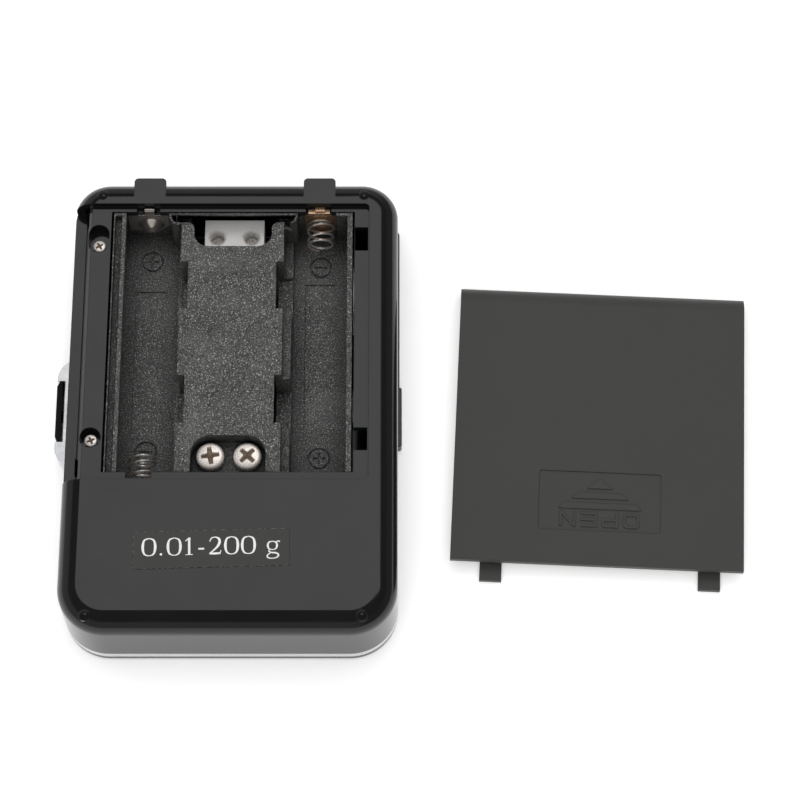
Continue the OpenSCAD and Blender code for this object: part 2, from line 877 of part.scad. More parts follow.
// Strip that joins the two cells at the key end: a plate in each bay and a bar behind the wall
module contact_bridge() {
    color("#c4beb4")
        union() {
            for (x = [left_mid, right_mid]) {
                span([x - 3.6, bay_low + 0.1, 9], [x + 3.6, bay_low + 0.4, 15]);
                span([x - 0.9, box_low - 0.35, 14.1], [x + 0.9, bay_low + 0.3, 14.9]);
            }
            translate([right_mid, bay_low + 0.35, bay_mid_z])
                rotate([-90, 0, 0])
                    cylinder(r1 = 2.1, r2 = 1.3, h = 1);
            span([left_mid - 0.9, box_low - 0.4, 14.1], [right_mid + 0.9, box_low - 0.1, 14.9]);
        }
}

module low_spring() {
    color("#cfc9c0")
        translate([left_mid, bay_low + 0.67, bay_mid_z])
            rotate([-90, 200, 0])
                coil(2.55, 2.2, 0.24, 3.2, 7.9);
}

// Aluminium bar with its two cross bores, tapped at the free end and drilled at the fixed end
module load_cell() {
    middle = (cell_end + clamp_y) / 2;
    color("#b4b6b8")
        difference() {
            span([-cell_w / 2, cell_low, cell_top - cell_t], [cell_w / 2, cell_end, cell_top]);
            for (y = [middle - 4.5, middle + 4.5])
                translate([-cell_w, y, cell_top - cell_t / 2])
                    rotate([0, 90, 0])
                        cylinder(r = 2.3, h = 2 * cell_w);
            span([-cell_w, middle - 4.5, cell_top - cell_t / 2 - 0.6],
                 [cell_w, middle + 4.5, cell_top - cell_t / 2 + 0.6]);
            for (side = [-1, 1]) {
                translate([side * cell_pitch / 2, free_y, 0])
                    cylinder(r = 1.5, h = body_h);
                translate([side * cell_pitch / 2, free_y, cell_top - 0.3])
                    cylinder(r1 = 1.5, r2 = 1.81, h = 0.31);
                translate([side * clamp_pitch / 2, clamp_y, 0])
                    cylinder(r = 1.5, h = body_h);
            }
        }
}

module gauge_coating() {
    middle = (cell_end + clamp_y) / 2;
    color("#e8e6df")
        for (z = [cell_top, cell_top - cell_t - 0.5])
            translate([0, middle, z])
                linear_extrude(0.5)
                    soft_tile([9.4, 18], 1.6);
}

module load_cell_screws() {
    color("#d8d2c8")
        for (side = [-1, 1])
            translate([side * clamp_pitch / 2 + 0.1, clamp_y, cell_top + web_t])
                domed_screw(2.65, 2, 1.38, 6);
}

module shell_screws() {
    color("#d2cabd")
        for (y = screw_ys)
            translate([screw_x, y, screw_seat])
                domed_screw(1.22, 1.1, 0.8, 7);
}

module hinge_pins() {
    color("#b9bbbd")
        for (x = ear_xs)
            translate([x - pin_l / 2, hinge_y, hinge_z])
                rotate([0, 90, 0])
                    cylinder(r = hinge_pin_r, h = pin_l);
}

module capacity_label() {
    color("#2a2b2c")
        translate([-2.45, -30.3, body_h])
            rotate(1.6)
                linear_extrude(0.08)
                    soft_tile([29, 7.3], 0.3);
}

module supply_wires() {
    color("#a02020")
        for (route = supply_routes)
            wire_along(route, 0.45);
}

module signal_wires() {
    color("#d0d0d0")
        for (i = [0:3])
            translate([0.4 * i, 0, 0.6 * i])
                wire_along(signal_route, 0.26);
}

module weighing_platform() {
    color("#bfc1c3")
        difference() {
            translate([0, plate_y, plate_z])
                linear_extrude(2.2)
                    soft_tile([plate_w, plate_l], 3);
            translate([0, plate_y, plate_z + plate_t])
                linear_extrude(3)
                    soft_tile([plate_w - 1, plate_l - 1], 2.5);
        }
}

// Plastic spider under the platform, with the boss that meets the load cell
module platform_carrier() {
    color("#303234")
        difference() {
            union() {
                translate([0, plate_y, plate_z + plate_t + 0.05])
                    linear_extrude(1.2)
                        soft_tile([plate_w - 1.2, plate_l - 1.2], 2.4);
                for (turn = [-1, 1])
                    translate([0, plate_y, plate_z + plate_t + 1])
                        rotate(turn * 38)
                            span([-24, -1, 0], [24, 1, 1.1]);
                translate([0, free_y, plate_z + plate_t + 0.05])
                    linear_extrude(cell_top - cell_t - 0.4 - plate_z - plate_t - 0.05)
                        soft_tile([14, 6.6], 2);
            }
            for (side = [-1, 1])
                translate([side * cell_pitch / 2, free_y, 0]) {
                    cylinder(r = 1.45, h = body_h);
                    translate([0, 0, plate_z + plate_t])
                        cylinder(r = 2.7, h = 1.4);
                }
        }
}

module platform_screws() {
    color("#d8d2c8")
        for (side = [-1, 1])
            translate([side * cell_pitch / 2, free_y, plate_z + plate_t + 1.4])
                mirror([0, 0, 1])
                    domed_screw(2.4, 1.3, 1.38, 5.5);
}

// Lid over the platform, hinged at the top end and hollow towards the platform
module lid() {
    half = half_w + lid_proud;
    color("#1b1c1d")
        difference() {
            translate([plan_x, 0, 0]) {
                linear_extrude(lid_t)
                    soft_rect([-half, lid_free], [half, hinge_y], 0.9);
                span([-half + 1, hinge_y - 2, 0], [half - 1, hinge_y, lid_t]);
                translate([-half + 0.4, hinge_y, hinge_z])
                    rotate([0, 90, 0])
                        cylinder(r = hinge_z, h = 2 * half - 0.8);
                // Thumb tab at the right
                translate([0, 0, 0.2])
                    linear_extrude(lid_t - 0.2)
                        soft_rect([half - 1.4, lid_free], [half + 0.45, lid_free + 12.5], 0.45);
            }
            translate([plan_x, 0, 1.2])
                linear_extrude(lid_t)
                    soft_rect([-half + 2, lid_free + 1.4], [half - 2, hinge_y - 1.6], 1.6);
            for (x = ear_xs) {
                span([x - ear_w / 2 - 0.25, hinge_y - hinge_z - 0.25, -1],
                     [x + ear_w / 2 + 0.25, hinge_y + 3, lid_t + 1]);
                translate([x - pin_l / 2 - 0.15, hinge_y, hinge_z])
                    rotate([0, 90, 0])
                        cylinder(r = hinge_pin_r + 0.05, h = pin_l + 0.3);
            }
        }
}

// Push button in the trim band's lobe, with its stem and collar
module release_button() {
    out = half_w + lobe_out + 0.05;
    back = pocket_x - button_travel - 0.02;
    half = button_l / 2;
    color("#151515")
        translate([plan_x, lobe_y + 0.4, 0]) {
            translate([0, 0, button_z])
                linear_extrude(seam_z - button_z)
                    polygon([[-out, 0.9 - half], [-out + 0.5, -half], [back, -half],
                             [back, half], [-out + 0.5, half], [-out, half - 0.9]]);
            translate([back - 0.4, 0, stem_z])
                rotate([0, 90, 0])
                    cylinder(r = 0.6, h = -half_w + wall + 0.3 - back + 0.4);
            translate([-half_w + wall + 0.08, 0, stem_z])
                rotate([0, 90, 0])
                    cylinder(r = 1.05, h = 0.4);
        }
}

module release_spring() {
    start = plan_x - half_w + wall + 0.62;
    color("#c0c0c0")
        translate([start, lobe_y + 0.4, stem_z])
            rotate([0, 90, 0])
                coil(0.85, 0.85, 0.12, 5, stop_x - 0.16 - start);
}

// One key cap with the flange that keeps it behind the skin
module key_cap(i) {
    color("#4b4e52")
        translate([key_xs[i], key_y, 0]) {
            translate([0, 0, 0.15])
                linear_extrude(1.7)
                    soft_tile([key_w, key_l], 2.4);
            translate([0, 0, skin_t + 0.1])
                linear_extrude(0.6)
                    soft_tile([key_w + 1.4, key_l + 1.4], 2.8);
        }
}

module key_power() {
    key_cap(0);
}

module key_tare() {
    key_cap(1);
}

module key_mode() {
    key_cap(2);
}

module key_light() {
    key_cap(3);
}

// Section of the cover across its curl, from the hook edge at x = 0 to the curl at x = cover_l
module cover_section() {
    inner = edge_r - cover_t;
    translate([0, -cover_t])
        square([cover_l - edge_r, cover_t]);
    translate([cover_l - cover_t, -curl_h])
        square([cover_t, curl_h - edge_r]);
    difference() {
        translate([cover_l - edge_r, -edge_r])
            circle(edge_r);
        translate([cover_l - edge_r, -edge_r])
            circle(inner);
        translate([cover_l - 3 * edge_r, -3 * edge_r])
            square([2 * edge_r, 5 * edge_r]);
        translate([cover_l - 2 * edge_r, -3 * edge_r])
            square([4 * edge_r, 2 * edge_r]);
    }
}

// Block letters of the opening mark, each letter_w wide and letter_h high
module letter(i) {
    w = letter_w / 2;
    h = letter_h / 2;
    t = letter_t;
    if (i == 0)
        difference() {
            soft_tile([2 * w, 2 * h], 0.8);
            soft_tile([2 * w - 2 * t, 2 * h - 2 * t], 0.5);
        }
    if (i > 0)
        translate([-w, -h])
            square([t, 2 * h]);
    if (i == 1)
        difference() {
            soft_rect([-w, -0.25], [w, h], 0.5);
            soft_rect([-w + t, -0.25 + t], [w - t, h - t], 0.2);
        }
    if (i == 2)
        for (y = [-h, -t / 2, h - t])
            translate([-w, y])
                square([2 * w, t]);
    if (i == 3) {
        translate([w - t, -h])
            square([t, 2 * h]);
        polygon([[-w, h], [-w + 1.3 * t, h], [w, -h], [w - 1.3 * t, -h]]);
    }
}

// A bar of the wedge: wide at its foot, narrow at its head, with its foot on y = 0
module wedge_bar(foot, head, tall) {
    polygon([[-foot / 2, 0], [foot / 2, 0], [head / 2, tall], [-head / 2, tall]]);
}

// Sunk panel of the cover's face, less the wedge and the word that stand in it; they read from the curl
module cover_marks() {
    translate([0.3, 12.8])
        difference() {
            soft_tile([23.4, 12], 0.6);
            translate([0, 2.6])
                wedge_bar(4.8, 0.6, 1.8);
            translate([0, 0.55])
                wedge_bar(10.9, 8.2, 1.2);
            translate([0, -1.55])
                wedge_bar(15.9, 14, 1.2);
            for (i = [0:3])
                translate([(1.5 - i) * letter_pitch, -3.7])
                    rotate(180)
                        letter(i);
        }
}

// The cover in its own frame: u along the curl, v from hooks to curl, outer face at w = 0
module cover_shape() {
    difference() {
        union() {
            translate([-cover_w / 2, 0, 0])
                rotate([90, 0, 90])
                    linear_extrude(cover_w)
                        cover_section();
            for (i = [0, 1]) {
                u = hook_ys[i] - (recess_top + recess_low) / 2;
                span([u - hook_w / 2, 0.6, -4.15], [u + hook_w / 2, 1.7, -cover_t + eps]);
                span([u - hook_w / 2, -hook_l, -4.15], [u + hook_w / 2, 1.7, -3]);
            }
        }
        translate([0, 0, -0.25])
            linear_extrude(1)
                cover_marks();
    }
}

module battery_cover() {
    color("#333433")
        translate([cover_x, cover_y, curl_h])
            rotate(cover_turn)
                translate([0, cover_l / 2, 0])
                    rotate([cover_tip, 0, 0])
                        translate([0, -cover_l, 0])
                            cover_shape();
}

rear_shell();
battery_box();
trim_band();
front_fascia();
display_window();
lcd_panel();
backlight();
main_pcb();
pcb_components();
key_switches();
key_membrane();
pcb_screws();
positive_contact();
negative_contact();
top_spring();
contact_bridge();
low_spring();
load_cell();
gauge_coating();
load_cell_screws();
shell_screws();
hinge_pins();
capacity_label();
supply_wires();
signal_wires();
weighing_platform();
platform_carrier();
platform_screws();
lid();
release_button();
release_spring();
key_power();
key_tare();
key_mode();
key_light();
battery_cover();
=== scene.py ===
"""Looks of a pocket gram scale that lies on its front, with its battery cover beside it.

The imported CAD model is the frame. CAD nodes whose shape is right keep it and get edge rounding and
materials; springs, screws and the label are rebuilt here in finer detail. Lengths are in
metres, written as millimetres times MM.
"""
import math
import random

import bmesh
import bpy
from mathutils import Matrix, Vector


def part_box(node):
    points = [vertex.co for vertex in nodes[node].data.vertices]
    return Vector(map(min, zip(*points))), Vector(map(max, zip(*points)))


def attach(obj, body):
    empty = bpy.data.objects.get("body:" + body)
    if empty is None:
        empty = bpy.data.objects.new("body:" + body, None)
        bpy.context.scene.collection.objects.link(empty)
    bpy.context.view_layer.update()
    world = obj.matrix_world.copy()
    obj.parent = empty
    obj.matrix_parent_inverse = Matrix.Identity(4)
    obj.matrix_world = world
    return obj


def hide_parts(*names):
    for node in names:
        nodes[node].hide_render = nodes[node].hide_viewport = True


MM = 0.001
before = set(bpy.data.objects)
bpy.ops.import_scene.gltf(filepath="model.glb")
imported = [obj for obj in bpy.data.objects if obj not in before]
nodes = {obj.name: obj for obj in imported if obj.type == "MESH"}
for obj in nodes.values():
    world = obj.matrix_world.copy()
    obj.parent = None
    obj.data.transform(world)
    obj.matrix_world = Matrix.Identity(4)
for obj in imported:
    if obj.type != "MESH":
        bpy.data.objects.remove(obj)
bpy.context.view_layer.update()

# ---------------------------------------------------------------- helpers


def new_object(name, mesh, body, material):
    """Links a finished mesh as a piece that rides on a body."""
    obj = bpy.data.objects.new(name, mesh)
    bpy.context.scene.collection.objects.link(obj)
    mesh.materials.append(material)
    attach(obj, body)
    return obj


def smooth(obj, angle=32):
    """Smooth shading that keeps corners sharper than angle, in degrees."""
    mesh = obj.data
    mesh.polygons.foreach_set("use_smooth", [True] * len(mesh.polygons))
    mesh.set_sharp_from_angle(angle=math.radians(angle))


def round_edges(obj, width, segments=2, angle=38):
    """Eases a piece's sharp edges, as a mould or a cutter leaves them."""
    bevel = obj.modifiers.new("eased_edges", "BEVEL")
    bevel.width = width
    bevel.segments = segments
    bevel.limit_method = "ANGLE"
    bevel.angle_limit = math.radians(angle)
    bevel.use_clamp_overlap = True
    bevel.harden_normals = True
    return bevel


def paint(node, material, edge=None, segments=2, angle=32):
    """Gives a CAD node its material and, if edge is set, eased edges."""
    obj = nodes[node]
    obj.data.materials.clear()
    obj.data.materials.append(material)
    smooth(obj, angle)
    if edge:
        round_edges(obj, edge, segments)
    return obj


# ---------------------------------------------------------------- materials


class Nodes:
    """Short calls for building one material's node tree."""

    def __init__(self, name, edge=0.15 * MM):
        self.edge = edge
        self.material = bpy.data.materials.new(name)
        self.material.use_nodes = True
        self.tree = self.material.node_tree
        self.shader = self.tree.nodes["Principled BSDF"]
        coords = self.tree.nodes.new("ShaderNodeTexCoord")
        self.place = coords.outputs["Object"]

    def join(self, source, target):
        self.tree.links.new(source, target)

    def noise(self, scale, detail=3.0, rough=0.55, stretch=None):
        """Noise with features about 1/scale metres across; stretch squeezes them along each axis."""
        node = self.tree.nodes.new("ShaderNodeTexNoise")
        node.inputs["Scale"].default_value = scale
        node.inputs["Detail"].default_value = detail
        node.inputs["Roughness"].default_value = rough
        source = self.place
        if stretch:
            mapping = self.tree.nodes.new("ShaderNodeMapping")
            mapping.inputs["Scale"].default_value = stretch
            self.join(self.place, mapping.inputs["Vector"])
            source = mapping.outputs["Vector"]
        self.join(source, node.inputs["Vector"])
        return node.outputs["Fac"]

    def cells(self, scale):
        node = self.tree.nodes.new("ShaderNodeTexVoronoi")
        node.inputs["Scale"].default_value = scale
        self.join(self.place, node.inputs["Vector"])
        return node.outputs["Distance"]

    def span(self, source, low, high, start=0.0, stop=1.0):
        """source, from start to stop, mapped to low to high."""
        node = self.tree.nodes.new("ShaderNodeMapRange")
        node.inputs["From Min"].default_value = start
        node.inputs["From Max"].default_value = stop
        node.inputs["To Min"].default_value = low
        node.inputs["To Max"].default_value = high
        self.join(source, node.inputs["Value"])
        return node.outputs["Result"]

    def blend(self, source, first, second):
        """Colour from first to second as source goes from 0 to 1."""
        node = self.tree.nodes.new("ShaderNodeMix")
        node.data_type = "RGBA"
        node.inputs["A"].default_value = (*first, 1)
        node.inputs["B"].default_value = (*second, 1)
        self.join(source, node.inputs["Factor"])
        return node.outputs["Result"]

    def over(self, source, base, top):
        """The colour of the link base, covered by top as source goes from 0 to 1."""
        node = self.tree.nodes.new("ShaderNodeMix")
        node.data_type = "RGBA"
        node.inputs["B"].default_value = (*top, 1)
        self.join(source, node.inputs["Factor"])
        self.join(base, node.inputs["A"])
        return node.outputs["Result"]

    def painted_corner_shade(self, source, reach, power):
        """The colour of the link source with painted shade: darker in corners less than about reach deep."""
        shelter = self.tree.nodes.new("ShaderNodeAmbientOcclusion")
        shelter.samples = 8
        shelter.inputs["Distance"].default_value = reach
        fall = self.tree.nodes.new("ShaderNodeMath")
        fall.operation = "POWER"
        fall.inputs[1].default_value = power
        self.join(shelter.outputs["AO"], fall.inputs[0])
        node = self.tree.nodes.new("ShaderNodeMix")
        node.data_type = "RGBA"
        node.inputs["A"].default_value = (0, 0, 0, 1)
        self.join(fall.outputs[0], node.inputs["Factor"])
        self.join(source, node.inputs["B"])
        return node.outputs["Result"]

    def bump(self, *layers):
        """Stacks (height, strength, distance) layers of bump on softly rounded edges."""
        rounding = self.tree.nodes.new("ShaderNodeBevel")
        rounding.samples = 4
        rounding.inputs["Radius"].default_value = self.edge
        normal = rounding.outputs["Normal"]
        for height, strength, distance in layers:
            node = self.tree.nodes.new("ShaderNodeBump")
            node.inputs["Strength"].default_value = strength
            node.inputs["Distance"].default_value = distance
            self.join(height, node.inputs["Height"])
            self.join(normal, node.inputs["Normal"])
            normal = node.outputs["Normal"]
        self.join(normal, self.shader.inputs["Normal"])

    def colour(self, source):
        self.join(source, self.shader.inputs["Base Color"])

    def roughness(self, source):
        self.join(source, self.shader.inputs["Roughness"])

    def set(self, **values):
        for name, value in values.items():
            self.shader.inputs[name.replace("_", " ")].default_value = value


def shaded(colour, factor):
    return tuple(channel * factor for channel in colour)


def gloss_plastic(name, colour, rough=0.16, waviness=0.05):
    """Polished moulded plastic: faint ripples, hairlines and handling marks."""
    m = Nodes(name)
    smudges = m.noise(90, 4)
    hairlines = m.noise(700, 2, 0.4, (1, 14, 1))
    m.colour(m.blend(smudges, shaded(colour, 0.85), shaded(colour, 1.2)))
    m.roughness(m.span(smudges, rough * 0.8, rough * 1.35, 0.35, 0.7))
    m.bump((m.noise(160, 2), waviness, 0.4 * MM), (hairlines, 0.02, 0.05 * MM))
    m.set(IOR=1.46)
    return m.material


def satin_plastic(name, colour, rough=0.42, grain=0.18, specular=0.5):
    """Fine matt moulded plastic with a slightly worn sheen."""
    m = Nodes(name)
    cloud = m.noise(60, 4)
    m.colour(m.blend(cloud, shaded(colour, 0.88), shaded(colour, 1.14)))
    m.roughness(m.span(cloud, rough * 0.88, rough * 1.12, 0.3, 0.7))
    m.bump((m.noise(9000, 2), grain, 0.02 * MM), (m.noise(220, 2), 0.03, 0.3 * MM))
    m.set(IOR=1.48, Specular_IOR_Level=specular)
    return m.material


def sparkle_plastic(name, colour):
    """Spark-eroded mould texture: coarse grain, as on the battery box, with painted glints and painted shade
    in its corners.
    """
    m = Nodes(name, 0.2 * MM)
    grain = m.noise(2900, 2, 0.6)
    specks = m.noise(4200, 1, 0.5)
    cloud = m.noise(110, 3)
    base = m.blend(m.span(grain, 0, 1, 0.40, 0.66), shaded(colour, 0.55), shaded(colour, 2.2))
    worn = m.over(m.span(cloud, 0, 0.35, 0.45, 0.7), base, shaded(colour, 2.8))
    # painted highlights: specks in the colour nine times brighter stand in for glints
    glint = m.over(m.span(specks, 0, 1, 0.61, 0.69), worn, shaded(colour, 9))
    # painted shade: the colour darkens in corners up to 6 mm deep
    m.colour(m.painted_corner_shade(glint, 6 * MM, 0.9))
    m.roughness(m.span(specks, 0.5, 0.25, 0.5, 0.7))
    m.bump((grain, 0.9, 0.12 * MM), (specks, 0.6, 0.06 * MM))
    m.set(IOR=1.5)
    return m.material


def metal(name, colour, rough=0.25, stretch=None, scale=2200, depth=0.12, metallic=0.9):
    """Plated or machined metal; stretch lays its grain along one axis."""
    m = Nodes(name, 0.1 * MM)
    grain = m.noise(scale, 3, 0.55, stretch)
    tarnish = m.noise(420, 3)
    m.colour(m.blend(tarnish, shaded(colour, 0.84), shaded(colour, 1.04)))
    m.roughness(m.span(grain, rough * 0.75, rough * 1.3, 0.3, 0.7))
    m.bump((grain, depth, 0.03 * MM))
    m.set(Metallic=metallic)
    return m.material


def rubbery(name, colour, rough=0.55):
    m = Nodes(name)
    cloud = m.noise(700, 3)
    m.colour(m.blend(cloud, shaded(colour, 0.85), shaded(colour, 1.1)))
    m.roughness(m.span(cloud, rough * 0.9, rough * 1.1, 0.3, 0.7))
    m.bump((m.noise(3000, 2), 0.15, 0.04 * MM))
    return m.material


def board(name):
    """Solder mask with faint traces under it."""
    m = Nodes(name)
    lanes = m.noise(900, 1, 0.3, (1, 0.12, 1))
    traces = m.span(lanes, 0, 1, 0.5, 0.52)
    m.colour(m.blend(traces, (0.012, 0.11, 0.04), (0.03, 0.22, 0.09)))
    m.roughness(m.span(m.noise(500), 0.25, 0.4, 0.3, 0.7))
    m.bump((traces, 0.3, 0.03 * MM))
    return m.material


def clear_window(name):
    m = Nodes(name)
    m.roughness(m.span(m.noise(300, 3), 0.03, 0.1, 0.35, 0.7))
    m.bump((m.noise(200, 2), 0.02, 0.2 * MM))
    m.set(Base_Color=(0.55, 0.6, 0.58, 1), Transmission_Weight=0.9, IOR=1.49)
    return m.material


def display(name):
    """Reflective display glass: grey-green with a fine pixel grid."""
    m = Nodes(name)
    cloud = m.noise(80, 3)
    m.colour(m.blend(cloud, (0.30, 0.34, 0.27), (0.38, 0.42, 0.34)))
    m.roughness(m.span(cloud, 0.12, 0.22, 0.3, 0.7))
    m.bump((m.cells(2500), 0.05, 0.02 * MM))
    return m.material


SHELL = gloss_plastic("shell_gloss_black", (0.006, 0.006, 0.0062), 0.12, 0.03)
FRONT = gloss_plastic("front_gloss_black", (0.005, 0.005, 0.0052), 0.12, 0.03)
SPARKLE = sparkle_plastic("box_sparkle_black", (0.042, 0.042, 0.041))
COVER = satin_plastic("cover_satin_black", (0.050, 0.050, 0.048), 0.45, 0.12, 0.25)
BUTTON = satin_plastic("button_black", (0.004, 0.004, 0.004), 0.5, 0.12, 0.2)
SATIN = satin_plastic("inner_satin_black", (0.016, 0.016, 0.016), 0.4, 0.2)
KEYS = satin_plastic("key_grey", (0.07, 0.075, 0.08), 0.4, 0.25)
CHROME = metal("trim_silver", (0.66, 0.67, 0.69), 0.22, None, 260, 0.02, 0.9)
NICKEL = metal("nickel_bright", (0.90, 0.83, 0.78), 0.26, None, 2600, 0.02, 0.6)
CONTACT = metal("contact_plated", (0.82, 0.76, 0.70), 0.2, None, 1400, 0.03, 0.95)
# painted shade: a darker, brownish copy of the nickel for the cross recesses of the screw heads
RECESS_SHADE = metal("screw_recess_painted_shade", (0.40, 0.31, 0.24), 0.38, None, 2600, 0.2, 0.6)
SPRING = metal("spring_wire", (0.95, 0.89, 0.85), 0.16, None, 5200, 0.02, 0.92)
COPPER = metal("copper_plate", (0.66, 0.44, 0.28), 0.26, None, 2400, 0.2, 0.9)
MACHINED = metal("cell_machined", (0.78, 0.77, 0.75), 0.45, None, 2900, 0.2, 0.2)
STEEL = metal("platform_brushed", (0.66, 0.67, 0.68), 0.3, (1, 40, 1), 420, 0.18, 0.95)
BRASS = metal("switch_dome", (0.80, 0.64, 0.36), 0.3, None, 1500, 0.1)
RUBBER = rubbery("membrane_rubber", (0.17, 0.175, 0.18))
COATING = rubbery("gauge_compound", (0.62, 0.60, 0.55), 0.45)
WIRE_RED = rubbery("wire_red", (0.05, 0.010, 0.010), 0.45)
WIRE_WHITE = rubbery("wire_white", (0.62, 0.62, 0.60), 0.4)
BOARD = board("board_green")
EPOXY = satin_plastic("epoxy_black", (0.015, 0.015, 0.015), 0.3, 0.3)
GUIDE = satin_plastic("light_guide", (0.72, 0.77, 0.80), 0.35, 0.1)
WINDOW = clear_window("window_clear")
LCD = display("display_glass")
LABEL = gloss_plastic("label_film", (0.009, 0.009, 0.0075), 0.14, 0.03)
INK = satin_plastic("label_ink", (0.80, 0.80, 0.79), 0.45, 0.1)
BUBBLES = satin_plastic("label_edge_bubbles", (0.45, 0.45, 0.44), 0.3, 0.3)

# ---------------------------------------------------------------- CAD nodes that keep their shape

paint("rear_shell", SHELL, 0.12 * MM)
paint("battery_box", SPARKLE, 0.14 * MM)
paint("trim_band", CHROME, 0.2 * MM)
paint("front_fascia", FRONT, 0.12 * MM)
paint("display_window", WINDOW, 0.1 * MM)
paint("lcd_panel", LCD, 0.08 * MM)
paint("backlight", GUIDE, 0.1 * MM)
paint("main_pcb", BOARD, 0.06 * MM)
paint("pcb_components", EPOXY, 0.1 * MM)
paint("key_switches", BRASS, 0.1 * MM)
paint("key_membrane", RUBBER, 0.15 * MM)
paint("pcb_screws", NICKEL, 0.05 * MM)
paint("negative_contact", COPPER, 0.06 * MM)
paint("contact_bridge", CONTACT, 0.06 * MM)
paint("release_spring", SPRING)
paint("load_cell", MACHINED, 0.15 * MM)
paint("gauge_coating", COATING, 0.2 * MM)
paint("hinge_pins", NICKEL, 0.05 * MM)
paint("capacity_label", LABEL)
paint("supply_wires", WIRE_RED)
paint("signal_wires", WIRE_WHITE)
paint("weighing_platform", STEEL, 0.2 * MM)
paint("platform_carrier", SATIN, 0.15 * MM)
paint("platform_screws", NICKEL, 0.08 * MM)
paint("lid", FRONT, 0.25 * MM)
paint("release_button", BUTTON, 0.12 * MM)
for key in ("key_power", "key_tare", "key_mode", "key_light"):
    paint(key, KEYS, 0.2 * MM)
paint("battery_cover", COVER, 0.1 * MM)

# ---------------------------------------------------------------- pieces rebuilt in finer detail

BODY = "scale_body"


def loft(name, rings, material, body=BODY, place=None, capped=True, angle=32):
    """A closed skin through rings of points, with its ends capped."""
    mesh = bpy.data.meshes.new(name)
    bm = bmesh.new()
    rows = []
    for ring in rings:
        rows.append([bm.verts.new(place @ Vector(p) if place else Vector(p)) for p in ring])
    count = len(rings[0])
    for low, high in zip(rows, rows[1:]):
        for i in range(count):
            j = (i + 1) % count
            bm.faces.new((low[i], low[j], high[j], high[i]))
    if capped:
        bm.faces.new(rows[0][::-1])
        bm.faces.new(rows[-1])
    bmesh.ops.remove_doubles(bm, verts=bm.verts, dist=1e-7)
    bmesh.ops.recalc_face_normals(bm, faces=bm.faces)
    bm.to_mesh(mesh)
    bm.free()
    obj = new_object(name, mesh, body, material)
    smooth(obj, angle)
    return obj


def along(knots, t):
    """Value at t of the smooth curve through knots, a list of (t, value)."""
    for i, ((t0, v0), (t1, v1)) in enumerate(zip(knots, knots[1:])):
        if t <= t1 or i == len(knots) - 2:
            before = knots[max(i - 1, 0)]
            after = knots[min(i + 2, len(knots) - 1)]
            slope0 = (v1 - before[1]) / (t1 - before[0])
            slope1 = (after[1] - v0) / (after[0] - t0)
            span = t1 - t0
            u = (t - t0) / span
            rise = v1 - v0
            a = slope0 * span - rise
            b = rise - slope1 * span
            return v0 + u * rise + u * (1 - u) * (a * (1 - u) + b * u)
    return knots[-1][1]


def spring(name, node, place, heights, radii, wire, first, last):
    """A coil of round wire: heights and radii are knots of (turns, mm), from first to last turn."""
    steps = int((last - first) * 56)
    rings = []
    for i in range(steps + 1):
        n = first + (last - first) * i / steps
        a = 2 * math.pi * n
        r = along(radii, n) * MM
        z = along(heights, n) * MM
        out = Vector((math.cos(a), math.sin(a), 0))
        thin = wire * MM * min(1.0, 0.72 + 4 * min(i, steps - i) / 56)
        ring = []
        for k in range(12):
            b = 2 * math.pi * k / 12
            ring.append(out * (r + thin * math.cos(b)) + Vector((0, 0, z + thin * math.sin(b))))
        rings.append(ring)
    obj = loft(name, rings, SPRING, place=place, angle=60)
    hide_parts(node)
    return obj


def upright(origin, axis_x, axis_y):
    """A frame at origin whose local x and y are the two axes given."""
    x = Vector(axis_x)
    y = Vector(axis_y)
    turn = Matrix((x, y, x.cross(y))).transposed().to_4x4()
    return Matrix.Translation(origin) @ turn


def recess_depth(x, y, reach, arm, turn):
    """How deep the cross recess is at (x, y), from 0 to 1."""
    c, s = math.cos(turn), math.sin(turn)
    u, v = abs(x * c + y * s), abs(y * c - x * s)
    depth = 0.0
    for run, side in ((u, v), (v, u)):
        width = arm * (1.15 - 0.35 * run / reach)
        edge = min((reach - run) / (0.14 * reach), (width - side) / (0.22 * arm))
        wall = min(max(edge, 0.0), 1.0)
        depth = max(depth, wall * (1.0 - 0.45 * run / reach))
    web = (0.62 * reach - u - v) / (0.16 * reach)
    depth = max(depth, 0.7 * min(max(web, 0.0), 1.0))
    centre = max(0.0, 1 - math.hypot(x, y) / (0.3 * reach))
    return min(1.25, depth + 0.35 * centre)


def level_ring(radius, z, count):
    """count points round a circle of radius at height z."""
    ring = []
    for k in range(count):
        a = 2 * math.pi * k / count
        ring.append((radius * math.cos(a), radius * math.sin(a), z))
    return ring


